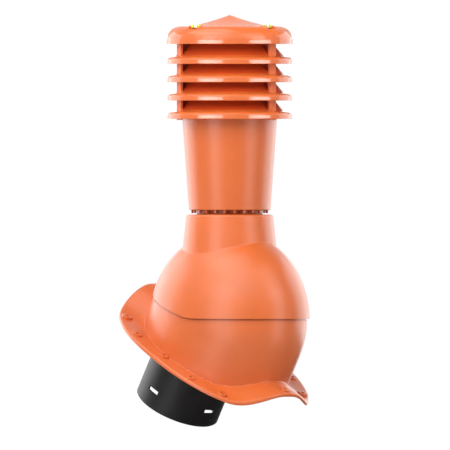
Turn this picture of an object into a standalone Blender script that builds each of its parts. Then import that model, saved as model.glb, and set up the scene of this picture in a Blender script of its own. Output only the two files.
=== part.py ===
"""Roof vent pipe: a wavy roof flange with a duct stub, and an upright head that tilts to suit the roof.

Metres, +Z up. The origin is where the housing's axis meets the mean plane of the roof, which falls towards
-Y at ROOF_PITCH. The pieces on the roof are drawn square to it, under an empty that is turned by the pitch.
The head (hood, pipe, louvres, cap and levels) hangs from a second empty, on the pivot line along X.
"""

import math

import bmesh
import bpy
from mathutils import Matrix, Vector

# Roof and pivot
ROOF_PITCH = math.radians(30.0)
TILT_RANGE = math.radians(25.0)
PIVOT_HEIGHT = 0.045

# Housing: the oval wall on the flange, domed above the pivot line and open at the top
HOUSING_HALF_WIDTH = 0.0967
HOUSING_HALF_LENGTH = 0.1262
HOUSING_WALL = 0.003
FOOT_FILLET = 0.0035
FLOOR_THICKNESS = 0.003
OPENING_MARGIN = math.radians(2.0)

# Flange: an oval plate that follows the waves of the roofing
FLANGE_HALF_WIDTH = 0.1240
FLANGE_HALF_LENGTH = 0.1609
FLANGE_SQUARENESS = 2.24
FLANGE_THICKNESS = 0.003
RIM_DEPTH = 0.0056
RIM_WIDTH = 0.005
RIM_ROUND = 0.003
WAVE_CREST = 0.0129
WAVE_TROUGH = -0.0168
WAVE_CREST_HALF = 0.0064
WAVE_TROUGH_START = 0.0844

# Screw bosses: three down each side, one at each corner and one at each end, inset from the flange's edge
BOSS_SIDE_INSET = 0.0195
BOSS_SIDE_STEP = 0.0628
BOSS_CORNER_BEARING = math.radians(53.4)
BOSS_CORNER_INSET = 0.0107
BOSS_END_INSET = 0.0121
BOSS_RADIUS = 0.0078
BOSS_RISE = 0.0016
BOSS_HOLE_RADIUS = 0.0021

# Duct stub, square to the roof
STUB_RADIUS = 0.0625
STUB_WALL = 0.003
STUB_DROP = 0.1178
STUB_OFFSET = 0.0305
STUB_LIP = 0.006
STUB_EDGE = 0.0012
SLOT_LENGTH = 0.020
SLOT_HEIGHT = 0.0062
SLOT_DROP = 0.0899

# Hood: the shell of revolution about the pivot line, and the collar on it
HOOD_GAP = 0.0012
HOOD_WALL = 0.0024
HOOD_REAR_CLEARANCE = 0.0088
HOOD_REAR_START = 0.0087
HOOD_EDGE_BLEND = 0.0116
HOOD_STOP_GAP = 0.0005
COLLAR_FOOT_RADIUS = 0.068
COLLAR_TOP_RADIUS = 0.0634
COLLAR_RISE = 0.0217
COLLAR_WALL = 0.005
COLLAR_ROUND = 0.004
COLLAR_FILLET = 0.003
SHELF_DEPTH = 0.0205
SHELF_THICKNESS = 0.003

# Pipe, with a neck that stands on the collar's shelf and a ring of locking pegs
PIPE_GAP = 0.0073
PIPE_LENGTH = 0.1313
PIPE_LOW_RADIUS = 0.0593
PIPE_HIGH_RADIUS = 0.0688
PIPE_WALL = 0.003
PIPE_ROUND = 0.0015
NECK_RADIUS = 0.048
NECK_WALL = 0.0045
SPIGOT_STEP = 0.0018
SPIGOT_LENGTH = 0.003
PEG_COUNT = 24
PEG_CIRCLE = 0.0545
PEG_WIDTH = 0.0032
PEG_LENGTH = 0.0045

# Louvre rings, with three posts and fins each, stacked on one another
LOUVRE_COUNT = 4
LOUVRE_PITCH = 0.0266
LIP_RADIUS = 0.0912
LIP_HEIGHT = 0.0107
LIP_SPREAD = 0.0095
LIP_ROUND = 0.0051
BRIM_RADIUS = 0.0768
BRIM_RISE = 0.0025
CONE_TOP_RADIUS = 0.0595
CONE_ANGLE = math.radians(48.0)
LOUVRE_WALL = 0.0025
POST_TURNS = (-83.0, 37.0, 157.0)
POST_RADIUS = 0.080
POST_WIDTH = 0.0154
POST_DEPTH = 0.004
FIN_THICKNESS = 0.0024
FIN_INSET = 0.002
FOOT_DROP = 0.0015

# Cap
CAP_LIFT = 0.0289
CAP_RADIUS = 0.0924
CAP_BAND = 0.0058
CAP_SHOULDER_RADIUS = 0.0705
CAP_SHOULDER_HEIGHT = 0.0261
CAP_PEAK_HEIGHT = 0.0422
CAP_FLARE = 1.6
CAP_WALL = 0.0025

# Levels: two vials in cradles on the cap, square to one another
LEVEL_TURNS = {"level_vial_left": 183.5, "level_vial_front": 273.5}
LEVEL_CIRCLE = 0.0735
VIAL_RADIUS = 0.0026
VIAL_LENGTH = 0.020
CRADLE_END = 0.003
CRADLE_REACH = 0.0045
CRADLE_SINK = 0.0026
CRADLE_RISE = 0.0018
CRADLE_FLOOR = 0.002

# Clearance between pieces that rest on or pass through one another
SEAT_GAP = 0.0003
RUNNING_GAP = 0.0004

# Facets, and how far along each dome its rings of points lie
HOUSING_RINGS = (0.0, 0.17, 0.34, 0.65, 1.0)
HOUSING_INNER_RINGS = (1.0, 0.5, 0.0)
HOOD_RINGS = (0.0, 0.2, 0.4, 0.6, 0.8, 1.0)
HOOD_INNER_RINGS = (1.0, 0.8, 0.6, 0.4, 0.2, 0.0)
CAP_CORNER_STEPS = 3
CAP_INNER_CORNER_STEPS = 2
CAP_RINGS = (0.6, 0.3, 0.0)
CAP_INNER_RINGS = (0.5, 0.0)
OVAL_SIDES = 40
ROUND_SIDES = 28
STUB_SIDES = 36
PAD_SIDES = 8
HOLE_SIDES = 6
VIAL_SIDES = 8
SMOOTH_LIMIT = math.radians(32.0)

# How far out the middle of a facet lies, as a share of its corners' radius
FACET_SHARE = math.cos(math.pi / ROUND_SIDES)

UP = Vector((0.0, 0.0, 1.0))
ARC = math.sqrt(0.5)


def turns(count):
    """Equal steps round a circle, in radians."""
    return [2.0 * math.pi * step / count for step in range(count)]


def finish(name, color, roughness, alpha=1.0):
    """A plain plastic."""
    material = bpy.data.materials.new(name)
    material.use_nodes = True
    shader = material.node_tree.nodes["Principled BSDF"]
    shader.inputs["Base Color"].default_value = (*color, 1.0)
    shader.inputs["Roughness"].default_value = roughness
    shader.inputs["Metallic"].default_value = 0.0
    shader.inputs["Alpha"].default_value = alpha
    return material


def empty(name, location, pitch):
    """A frame that pieces are drawn in."""
    frame = bpy.data.objects.new(name, None)
    bpy.context.collection.objects.link(frame)
    frame.location = location
    frame.rotation_euler = (pitch, 0.0, 0.0)
    return frame


def keep(name, bm, material, frame):
    """Turn a bmesh into a named object under a frame, smooth between its edges."""
    bmesh.ops.remove_doubles(bm, verts=bm.verts, dist=1e-6)
    bmesh.ops.recalc_face_normals(bm, faces=bm.faces)
    mesh = bpy.data.meshes.new(name)
    bm.to_mesh(mesh)
    bm.free()
    mesh.shade_smooth()
    mesh.set_sharp_from_angle(angle=SMOOTH_LIMIT)
    piece = bpy.data.objects.new(name, mesh)
    bpy.context.collection.objects.link(piece)
    if material is not None:
        mesh.materials.append(material)
    piece.parent = frame
    return piece


def skin(rings):
    """A closed body from rings of points: each ring joins the next, and the last joins the first."""
    bm = bmesh.new()
    loops = [[bm.verts.new(point) for point in ring] for ring in rings]
    for low, high in zip(loops, loops[1:] + loops[:1]):
        for step in range(len(low)):
            after = (step + 1) % len(low)
            bm.faces.new((low[step], low[after], high[after], high[step]))
    return bm


def turned(profile, sides):
    """A closed profile of (radius, height) points, spun about the Z axis."""
    bm = bmesh.new()
    points = [bm.verts.new((radius, 0.0, height)) for radius, height in profile]
    edges = [bm.edges.new(pair) for pair in zip(points, points[1:] + points[:1])]
    bmesh.ops.spin(
        bm, geom=points + edges, cent=(0.0, 0.0, 0.0), axis=UP,
        angle=2.0 * math.pi, steps=sides, use_merge=True,
    )
    return bm


def arc(center, reach, start, end, steps):
    """Points of an elliptical arc in the (radius, height) plane, both ends included; angles in degrees."""
    points = []
    for step in range(steps + 1):
        angle = math.radians(start + (end - start) * step / steps)
        points.append((center[0] + reach[0] * math.cos(angle), center[1] + reach[1] * math.sin(angle)))
    return points


def prism(bm, outline, low, high):
    """Add an upright prism over an outline that runs anticlockwise."""
    base = [bm.verts.new((x, y, low)) for x, y in outline]
    face = bm.faces.new(base)
    bm.normal_update()
    raised = bmesh.ops.extrude_face_region(bm, geom=[face])["geom"]
    top = [item for item in raised if isinstance(item, bmesh.types.BMVert)]
    bmesh.ops.translate(bm, verts=top, vec=(0.0, 0.0, high - low))
    return base + top


def block(bm, turn, radial, width, low, high):
    """Add a box at a turn round the Z axis, from one radius to another."""
    inner, outer = radial
    half = width / 2.0
    outline = [(inner, -half), (outer, -half), (outer, half), (inner, half)]
    verts = prism(bm, outline, low, high)
    bmesh.ops.rotate(bm, verts=verts, cent=(0.0, 0.0, 0.0), matrix=turn_matrix(turn))


def turn_matrix(degrees):
    """A turn about the Z axis."""
    return Matrix.Rotation(math.radians(degrees), 3, "Z")


def tool(name, bm, frame):
    """A helper that only cuts or joins."""
    helper = keep(name, bm, None, frame)
    helper.hide_render = True
    helper.display_type = "WIRE"
    return helper


def combine(piece, helper, operation):
    """Join a helper to a piece, or cut it away."""
    modifier = piece.modifiers.new(operation.title(), "BOOLEAN")
    modifier.operation = operation
    modifier.solver = "EXACT"
    modifier.use_self = operation == "UNION"
    modifier.object = helper
    return modifier


def wave(across):
    """Height of the flange's top over the roof's mean plane, this far from its middle line."""
    run = (abs(across) - WAVE_CREST_HALF) / (WAVE_TROUGH_START - WAVE_CREST_HALF)
    run = min(max(run, 0.0), 1.0)
    return WAVE_CREST + (WAVE_TROUGH - WAVE_CREST) * run * run * (3.0 - 2.0 * run)


def flange_edge(angle):
    """The flange's outline."""
    power = 2.0 / FLANGE_SQUARENESS
    across = math.copysign(FLANGE_HALF_WIDTH * abs(math.cos(angle)) ** power, math.cos(angle))
    along = math.copysign(FLANGE_HALF_LENGTH * abs(math.sin(angle)) ** power, math.sin(angle))
    return Vector((across, along, 0.0))


def housing_point(angle, offset):
    """The housing's oval, this far outside its wall."""
    across = (HOUSING_HALF_WIDTH + offset) * math.cos(angle)
    along = (HOUSING_HALF_LENGTH + offset) * math.sin(angle)
    return Vector((across, along, 0.0))


def flange_point(angle, inset):
    """A point this far in from the flange's edge, towards the housing."""
    edge = flange_edge(angle)
    return edge + (housing_point(angle, 0.0) - edge).normalized() * inset


def on_wave(points, lift):
    """Set points to a height over the flange's top."""
    return [Vector((point.x, point.y, wave(point.x) + lift)) for point in points]


def on_dome(units, half_width, half_length, center):
    """Points on an ellipsoid of revolution about X, from unit vectors."""
    return [
        center + Vector((unit.x * half_width, unit.y * half_length, unit.z * half_length))
        for unit in units
    ]


def between(units, others, share):
    """Unit vectors part of the way from one ring to another."""
    return [unit.slerp(other, share) for unit, other in zip(units, others)]


# The hood's rear edge runs in a plane from HOOD_REAR_START down-slope of the pivot line to a height over the
# flange's crest at the housing's upper end. Both ends are in the roof's frame, measured from the pivot line.
REAR_NEAR = Vector((-HOOD_REAR_START * math.cos(ROOF_PITCH), HOOD_REAR_START * math.sin(ROOF_PITCH)))
REAR_FAR = Vector((HOUSING_HALF_LENGTH, WAVE_CREST + HOOD_REAR_CLEARANCE - PIVOT_HEIGHT))
REAR_SLOPE = (REAR_FAR.y - REAR_NEAR.y) / (REAR_FAR.x - REAR_NEAR.x)
REAR_RISE = math.tan(math.atan(REAR_SLOPE) + ROOF_PITCH)

PIVOT_CENTER = Vector((0.0, 0.0, PIVOT_HEIGHT))
HOOD_HALF_WIDTH = HOUSING_HALF_WIDTH + HOOD_GAP + HOOD_WALL
HOOD_HALF_LENGTH = HOUSING_HALF_LENGTH + HOOD_GAP + HOOD_WALL
NECK_BORE = NECK_RADIUS - NECK_WALL
FLOOR_BOTTOM = WAVE_CREST
FLOOR_TOP = FLOOR_BOTTOM + FLOOR_THICKNESS


def ledge_height(along):
    """The housing's ledge under the hood's rear edge, over the pivot line in the roof's frame."""
    edge = REAR_NEAR.y + REAR_SLOPE * (along - REAR_NEAR.x)
    return min(0.0, edge - HOOD_STOP_GAP)


def ledge_units(drop):
    """Unit vectors of the ring where the housing's dome meets its ledge."""
    units = []
    for angle in turns(OVAL_SIDES):
        height = ledge_height(HOUSING_HALF_LENGTH * math.sin(angle))
        height = (height - min(drop, -height)) / HOUSING_HALF_LENGTH
        level = math.sqrt(1.0 - height * height)
        units.append(Vector((level * math.cos(angle), level * math.sin(angle), height)))
    return units


def opening_units():
    """Unit vectors of the housing's top opening, which clears the neck's bore over the whole tilt."""
    lean = ROOF_PITCH - TILT_RANGE / 2.0
    half = TILT_RANGE / 2.0 + math.asin(NECK_BORE / HOUSING_HALF_LENGTH) + OPENING_MARGIN
    middle = Vector((0.0, math.sin(lean), math.cos(lean)))
    side = Vector((0.0, math.cos(lean), -math.sin(lean)))
    units = []
    for angle in turns(OVAL_SIDES):
        spread = Vector((math.cos(angle), 0.0, 0.0)) + side * math.sin(angle)
        units.append(middle * math.cos(half) + spread * math.sin(half))
    return units


def base_flange(material, frame):
    """Flange, housing, floor and screw bosses, moulded as one."""
    angles = turns(OVAL_SIDES)

    def inset_ring(inset, lift):
        return on_wave([flange_point(angle, inset) for angle in angles], lift)

    def foot_ring(offset, lift):
        return on_wave([housing_point(angle, offset) for angle in angles], lift)

    def field_ring(share, foot_offset, inset, lift):
        points = [
            housing_point(angle, foot_offset).lerp(flange_point(angle, inset), share) for angle in angles
        ]
        return on_wave(points, lift)

    def wall_ring(offset, drop):
        ring = []
        for angle in angles:
            point = housing_point(angle, offset)
            height = ledge_height(HOUSING_HALF_LENGTH * math.sin(angle))
            point.z = PIVOT_HEIGHT + height - drop
            ring.append(point)
        return ring

    def level_ring(offset, height):
        return [housing_point(angle, offset) + UP * height for angle in angles]

    def hole_ring(height):
        radius = STUB_RADIUS + RUNNING_GAP
        return [
            Vector((radius * math.cos(angle), STUB_OFFSET + radius * math.sin(angle), height))
            for angle in angles
        ]

    inner = -HOUSING_WALL
    low_units = ledge_units(0.0)
    low_inner_units = ledge_units(HOUSING_WALL / 2.0)
    top_units = opening_units()
    inner_size = (HOUSING_HALF_WIDTH - HOUSING_WALL, HOUSING_HALF_LENGTH - HOUSING_WALL)
    outer_size = (HOUSING_HALF_WIDTH, HOUSING_HALF_LENGTH)

    rings = [
        foot_ring(inner, -FLANGE_THICKNESS),
        field_ring(0.5, inner, RIM_WIDTH, -FLANGE_THICKNESS),
        inset_ring(RIM_WIDTH, -FLANGE_THICKNESS),
        inset_ring(RIM_WIDTH - (RIM_DEPTH - FLANGE_THICKNESS) / 2.0, -RIM_DEPTH),
        inset_ring(0.0, -RIM_DEPTH),
        inset_ring(0.0, -RIM_ROUND),
        inset_ring(RIM_ROUND * (1.0 - ARC), -RIM_ROUND * (1.0 - ARC)),
        inset_ring(RIM_ROUND, 0.0),
        field_ring(0.5, FOOT_FILLET, RIM_ROUND, 0.0),
        foot_ring(FOOT_FILLET, 0.0),
        foot_ring(0.0, FOOT_FILLET),
        wall_ring(0.0, 0.0),
    ]
    for share in HOUSING_RINGS:
        rings.append(on_dome(between(low_units, top_units, share), *outer_size, PIVOT_CENTER))
    for share in HOUSING_INNER_RINGS:
        rings.append(on_dome(between(low_inner_units, top_units, share), *inner_size, PIVOT_CENTER))
    rings += [
        wall_ring(inner, HOUSING_WALL),
        level_ring(inner, FLOOR_TOP),
        hole_ring(FLOOR_TOP),
        hole_ring(FLOOR_BOTTOM),
        level_ring(inner, FLOOR_BOTTOM),
    ]
    piece = keep("base_flange", skin(rings), material, frame)

    pads = bmesh.new()
    holes = bmesh.new()
    for x, y in boss_spots():
        pad = circle(x, y, BOSS_RADIUS, PAD_SIDES)
        heights = [wave(at) for at, _ in pad]
        prism(pads, pad, min(heights) - FLANGE_THICKNESS / 2.0, max(heights) + BOSS_RISE)
        reach = BOSS_RADIUS + RIM_DEPTH
        prism(holes, circle(x, y, BOSS_HOLE_RADIUS, HOLE_SIDES), wave(x) - reach, wave(x) + reach)
    combine(piece, tool("boss_pads", pads, frame), "UNION")
    combine(piece, tool("boss_holes", holes, frame), "DIFFERENCE")
    return piece


def circle(x, y, radius, sides):
    """Points round a circle."""
    return [(x + radius * math.cos(step), y + radius * math.sin(step)) for step in turns(sides)]


def boss_spots():
    """Middles of the screw bosses, square to the roof."""
    side = FLANGE_HALF_WIDTH - BOSS_SIDE_INSET
    end = FLANGE_HALF_LENGTH - BOSS_END_INSET
    across = math.cos(BOSS_CORNER_BEARING) / FLANGE_HALF_WIDTH
    along = math.sin(BOSS_CORNER_BEARING) / FLANGE_HALF_LENGTH
    power = FLANGE_SQUARENESS
    corner = (across ** power + along ** power) ** (-1.0 / power) - BOSS_CORNER_INSET
    spots = [(0.0, end), (0.0, -end)]
    for sign in (1.0, -1.0):
        spots += [(sign * side, step * BOSS_SIDE_STEP) for step in (-1, 0, 1)]
        for way in (1.0, -1.0):
            x = sign * corner * math.cos(BOSS_CORNER_BEARING)
            y = way * corner * math.sin(BOSS_CORNER_BEARING)
            spots.append((x, y))
    return spots


def duct_stub(material, frame):
    """The black tube under the roof, with a lip on the housing's floor and four slots."""
    top = FLOOR_TOP + SEAT_GAP
    inside = STUB_RADIUS - STUB_WALL
    profile = [
        (STUB_RADIUS, top),
        (STUB_RADIUS + STUB_LIP, top),
        (STUB_RADIUS + STUB_LIP, top + STUB_WALL),
        (inside, top + STUB_WALL),
        (inside, -STUB_DROP),
        (STUB_RADIUS - STUB_EDGE, -STUB_DROP),
        (STUB_RADIUS, -STUB_DROP + STUB_EDGE),
    ]
    piece = keep("duct_stub", turned(profile, STUB_SIDES), material, frame)
    piece.location = (0.0, STUB_OFFSET, 0.0)

    slots = bmesh.new()
    reach = (inside - STUB_WALL, STUB_RADIUS + STUB_WALL)
    low = -SLOT_DROP - SLOT_HEIGHT / 2.0
    for turn in (0.0, 90.0, 180.0, 270.0):
        block(slots, turn, reach, SLOT_LENGTH, low, low + SLOT_HEIGHT)
    cutter = tool("stub_slots", slots, frame)
    cutter.location = piece.location
    combine(piece, cutter, "DIFFERENCE")
    return piece


def hood_edge_units(half_length):
    """Unit vectors of the hood's lower edge: level down-slope, and rising up-slope."""
    units = []
    for angle in turns(OVAL_SIDES):
        level = 1.0
        for _ in range(30):
            run = level * half_length * math.sin(angle) + HOOD_REAR_START
            height = REAR_RISE * (run + math.hypot(run, HOOD_EDGE_BLEND)) / 2.0 / half_length
            level = math.sqrt(1.0 - height * height)
        units.append(Vector((level * math.cos(angle), level * math.sin(angle), height)))
    return units


def dome_units(radius, half_width, half_length):
    """Unit vectors of the ring where an upright tube of this radius meets the dome."""
    units = []
    for angle in turns(OVAL_SIDES):
        across = radius * math.cos(angle) / half_width
        along = radius * math.sin(angle) / half_length
        units.append(Vector((across, along, math.sqrt(1.0 - across * across - along * along))))
    return units


def circle_ring(radius, height):
    """A level ring."""
    return [
        Vector((radius * math.cos(angle), radius * math.sin(angle), height)) for angle in turns(OVAL_SIDES)
    ]


COLLAR_TOP = HOOD_HALF_LENGTH + COLLAR_RISE
SHELF_TOP = COLLAR_TOP - SHELF_DEPTH
SPIGOT_RADIUS = NECK_RADIUS - SPIGOT_STEP


def dome_hood(material, frame):
    """The hood over the housing, with its collar and the shelf inside it."""
    center = Vector((0.0, 0.0, 0.0))
    outer = (HOOD_HALF_WIDTH, HOOD_HALF_LENGTH)
    inner = (HOOD_HALF_WIDTH - HOOD_WALL, HOOD_HALF_LENGTH - HOOD_WALL)
    inside = COLLAR_TOP_RADIUS - COLLAR_WALL
    corner = COLLAR_ROUND * (1.0 - ARC)
    edge_outer = hood_edge_units(outer[1])
    edge_inner = hood_edge_units(inner[1])
    foot = dome_units(COLLAR_FOOT_RADIUS + COLLAR_FILLET, *outer)
    root = dome_units(inside, *inner)
    collar_foot = [
        Vector((point.x, point.y, point.z + COLLAR_FILLET))
        for point in on_dome(dome_units(COLLAR_FOOT_RADIUS, *outer), *outer, center)
    ]

    rings = [on_dome(between(edge_outer, foot, share), *outer, center) for share in HOOD_RINGS]
    rings += [
        collar_foot,
        circle_ring(COLLAR_TOP_RADIUS, COLLAR_TOP - COLLAR_ROUND),
        circle_ring(COLLAR_TOP_RADIUS - corner, COLLAR_TOP - corner),
        circle_ring(COLLAR_TOP_RADIUS - COLLAR_ROUND, COLLAR_TOP),
        circle_ring(inside, COLLAR_TOP),
        circle_ring(inside, SHELF_TOP),
        circle_ring(SPIGOT_RADIUS + RUNNING_GAP, SHELF_TOP),
        circle_ring(SPIGOT_RADIUS + RUNNING_GAP, SHELF_TOP - SHELF_THICKNESS),
        circle_ring(inside, SHELF_TOP - SHELF_THICKNESS),
    ]
    rings += [
        on_dome(between(edge_inner, root, share), *inner, center) for share in HOOD_INNER_RINGS
    ]
    return keep("dome_hood", skin(rings), material, frame)


PIPE_BOTTOM = COLLAR_TOP + PIPE_GAP
LOUVRE_START = PIPE_BOTTOM + PIPE_LENGTH
CONE_STEEPNESS = math.tan(CONE_ANGLE)
BRIM_EDGE = LIP_RADIUS - LIP_SPREAD
BRIM_SLOPE = BRIM_RISE / (BRIM_EDGE - BRIM_RADIUS)


def cone_underside(radius):
    """Height of a ring's cone underside over its lip."""
    thickness = LOUVRE_WALL / math.cos(CONE_ANGLE)
    return LIP_HEIGHT + BRIM_RISE - thickness + (BRIM_RADIUS - radius) * CONE_STEEPNESS


def brim_underside(radius):
    """Height of a ring's brim underside over its lip."""
    return LIP_HEIGHT - LOUVRE_WALL + (BRIM_EDGE - radius) * BRIM_SLOPE


# Where the underside turns from brim to cone
UNDER_CORNER = (cone_underside(0.0) - brim_underside(0.0)) / (CONE_STEEPNESS - BRIM_SLOPE)


def ring_underside(radius):
    """Height of a ring's underside over its lip, inside the lip."""
    return cone_underside(radius) if radius < UNDER_CORNER else brim_underside(radius)


def under_facets(radius):
    """The lowest that the faceted underside comes at this radius, over its lip."""
    return ring_underside(radius / FACET_SHARE)


def vent_pipe(material, frame):
    """The tapered pipe, its neck and spigot, and the pegs under its lower edge."""
    taper = (PIPE_HIGH_RADIUS - PIPE_LOW_RADIUS) / PIPE_LENGTH

    def rim(wall):
        """Where the pipe's skin meets the lowest ring's underside."""
        start = PIPE_LOW_RADIUS - wall
        height = cone_underside(start) + LOUVRE_START - PIPE_BOTTOM - RUNNING_GAP
        height /= 1.0 + CONE_STEEPNESS * taper
        return start + taper * height, PIPE_BOTTOM + height

    floor = PIPE_BOTTOM + PIPE_WALL
    seat = SHELF_TOP + SEAT_GAP
    tip = SHELF_TOP - SHELF_THICKNESS - SPIGOT_LENGTH
    profile = [
        (NECK_RADIUS, PIPE_BOTTOM),
        (PIPE_LOW_RADIUS - PIPE_ROUND, PIPE_BOTTOM),
        (PIPE_LOW_RADIUS, PIPE_BOTTOM + PIPE_ROUND),
        rim(0.0),
        rim(PIPE_WALL),
        (PIPE_LOW_RADIUS - PIPE_WALL, floor),
        (NECK_BORE, floor),
        (NECK_BORE, tip),
        (SPIGOT_RADIUS, tip),
        (SPIGOT_RADIUS, seat),
        (NECK_RADIUS, seat),
    ]
    piece = keep("vent_pipe", turned(profile, ROUND_SIDES), material, frame)

    pegs = bmesh.new()
    radial = (PEG_CIRCLE - PEG_WIDTH / 2.0, PEG_CIRCLE + PEG_WIDTH / 2.0)
    for step in range(PEG_COUNT):
        turn = 360.0 * (step + 0.5) / PEG_COUNT
        block(pegs, turn, radial, PEG_WIDTH, PIPE_BOTTOM - PEG_LENGTH, PIPE_BOTTOM + PIPE_WALL / 2.0)
    combine(piece, tool("pipe_pegs", pegs, frame), "UNION")
    return piece


def louvre_profile():
    """A ring's section, with heights over its lip."""
    top = LIP_HEIGHT + BRIM_RISE
    cone_top = top + (BRIM_RADIUS - CONE_TOP_RADIUS) * CONE_STEEPNESS
    lip_center = (BRIM_EDGE, LIP_HEIGHT - LIP_ROUND)
    lip_inside = (LIP_SPREAD - LOUVRE_WALL, LIP_ROUND - LOUVRE_WALL)
    inner_radius = CONE_TOP_RADIUS - LOUVRE_WALL * math.sin(CONE_ANGLE)
    inner_top = cone_top - LOUVRE_WALL * math.cos(CONE_ANGLE)
    profile = [(LIP_RADIUS, 0.0)]
    profile += arc(lip_center, (LIP_SPREAD, LIP_ROUND), 0.0, 90.0, 2)
    profile += [(BRIM_RADIUS, top), (CONE_TOP_RADIUS, cone_top), (inner_radius, inner_top)]
    profile += [(UNDER_CORNER, ring_underside(UNDER_CORNER))]
    profile += arc(lip_center, lip_inside, 90.0, 0.0, 1)
    profile += [(LIP_RADIUS - LOUVRE_WALL, 0.0)]
    return profile


def cap_height(radius):
    """Height of the cap's top over its lower edge."""
    if radius <= CAP_SHOULDER_RADIUS:
        rise = (1.0 - radius / CAP_SHOULDER_RADIUS) ** CAP_FLARE
        return CAP_SHOULDER_HEIGHT + (CAP_PEAK_HEIGHT - CAP_SHOULDER_HEIGHT) * rise
    share = (radius - CAP_SHOULDER_RADIUS) / (CAP_RADIUS - CAP_SHOULDER_RADIUS)
    return CAP_BAND + (CAP_SHOULDER_HEIGHT - CAP_BAND) * math.sqrt(1.0 - share * share)


CAP_BASE = LOUVRE_START + LOUVRE_PITCH * (LOUVRE_COUNT - 1) + CAP_LIFT
LEVEL_SEAT = CAP_BASE + cap_height(LEVEL_CIRCLE) - CRADLE_SINK


def cap_line(wall, corner_steps, shares):
    """The cap's section from its edge to its peak, this far inside."""
    center = (CAP_SHOULDER_RADIUS, CAP_BASE + CAP_BAND)
    reach = (CAP_RADIUS - CAP_SHOULDER_RADIUS - wall, CAP_SHOULDER_HEIGHT - CAP_BAND - wall)
    points = [(CAP_RADIUS - wall, CAP_BASE), *arc(center, reach, 0.0, 90.0, corner_steps)]
    for share in shares:
        radius = CAP_SHOULDER_RADIUS * share
        points.append((radius, CAP_BASE + cap_height(radius) - wall))
    return points


def cap_underside(radius):
    """The lowest that the cap's faceted underside comes at this radius."""
    radius /= FACET_SHARE
    points = cap_line(CAP_WALL, CAP_INNER_CORNER_STEPS, CAP_INNER_RINGS)
    for outer, inner in zip(points, points[1:]):
        if inner[0] <= radius < outer[0]:
            share = (outer[0] - radius) / (outer[0] - inner[0])
            return outer[1] + (inner[1] - outer[1]) * share
    return CAP_BASE


def louvre_ring(number, material, frame):
    """One louvre ring, with the posts and fins that carry what is above it."""
    base = LOUVRE_START + LOUVRE_PITCH * (number - 1)
    bm = turned(louvre_profile(), ROUND_SIDES)
    bmesh.ops.translate(bm, verts=bm.verts, vec=(0.0, 0.0, base))
    piece = keep(f"louvre_ring_{number}", bm, material, frame)

    post = (POST_RADIUS - POST_DEPTH, POST_RADIUS)
    middle = sum(post) / 2.0
    corner = math.hypot(POST_RADIUS, POST_WIDTH / 2.0)
    fin_inner = CONE_TOP_RADIUS + FIN_INSET
    if number < LOUVRE_COUNT:
        above = base + LOUVRE_PITCH - RUNNING_GAP
        post_top = above + under_facets(corner)
        fin_radii = (UNDER_CORNER * FACET_SHARE, fin_inner)
        fin_tops = [(radius, above + under_facets(radius)) for radius in fin_radii]
    else:
        post_top = min(cap_underside(corner), LEVEL_SEAT - CRADLE_FLOOR) - RUNNING_GAP
        fin_tops = [(fin_inner, post_top)]

    in_wall = (ring_underside(post[0]) + ring_underside(corner) + LOUVRE_WALL) / 2.0
    foot = base - FOOT_DROP if number == 1 else base + in_wall
    fin_foot = (fin_inner, base + cone_underside(fin_inner) + LOUVRE_WALL)
    section = [(middle, base + LIP_HEIGHT), (middle, post_top - RUNNING_GAP), *fin_tops, fin_foot]
    posts = bmesh.new()
    for turn in POST_TURNS:
        block(posts, turn, post, POST_WIDTH, foot, post_top)
        add_fin(posts, section, turn)
    combine(piece, tool(f"louvre_posts_{number}", posts, frame), "UNION")
    return piece


def add_fin(bm, section, turn):
    """Add a radial plate with this (radius, height) section."""
    half = FIN_THICKNESS / 2.0
    verts = [bm.verts.new((radius, -half, height)) for radius, height in section]
    face = bm.faces.new(verts)
    bm.normal_update()
    raised = bmesh.ops.extrude_face_region(bm, geom=[face])["geom"]
    far = [item for item in raised if isinstance(item, bmesh.types.BMVert)]
    bmesh.ops.translate(bm, verts=far, vec=(0.0, FIN_THICKNESS, 0.0))
    bmesh.ops.rotate(bm, verts=verts + far, cent=(0.0, 0.0, 0.0), matrix=turn_matrix(turn))


def cap_cover(material, frame):
    """The hollow cap, with a cradle for each level."""
    profile = cap_line(0.0, CAP_CORNER_STEPS, CAP_RINGS)
    profile += reversed(cap_line(CAP_WALL, CAP_INNER_CORNER_STEPS, CAP_INNER_RINGS))
    piece = keep("cap_cover", turned(profile, ROUND_SIDES), material, frame)

    channel = (LEVEL_CIRCLE - VIAL_RADIUS - SEAT_GAP, CAP_RADIUS)
    radial = (channel[0] - CRADLE_FLOOR, LEVEL_CIRCLE + CRADLE_REACH)
    length = VIAL_LENGTH + 2.0 * (CRADLE_END + SEAT_GAP)
    cradles = bmesh.new()
    channels = bmesh.new()
    cradle_top = LEVEL_SEAT + CRADLE_SINK + CRADLE_RISE
    for turn in LEVEL_TURNS.values():
        block(cradles, turn, radial, length, LEVEL_SEAT - CRADLE_FLOOR, cradle_top)
        block(channels, turn, channel, length - 2.0 * CRADLE_END, LEVEL_SEAT, CAP_BASE + CAP_PEAK_HEIGHT)
    combine(piece, tool("cradle_blocks", cradles, frame), "UNION")
    combine(piece, tool("cradle_channels", channels, frame), "DIFFERENCE")
    return piece


def level_vial(name, turn, material, frame):
    """A small tube that lies in its cradle, along the cap's edge."""
    bm = bmesh.new()
    bmesh.ops.create_cone(
        bm, cap_ends=True, segments=VIAL_SIDES, radius1=VIAL_RADIUS, radius2=VIAL_RADIUS, depth=VIAL_LENGTH,
    )
    piece = keep(name, bm, material, frame)
    angle = math.radians(turn)
    piece.location = (
        LEVEL_CIRCLE * math.cos(angle), LEVEL_CIRCLE * math.sin(angle), LEVEL_SEAT + SEAT_GAP + VIAL_RADIUS,
    )
    piece.rotation_euler = (math.pi / 2.0, 0.0, angle)
    return piece


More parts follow.
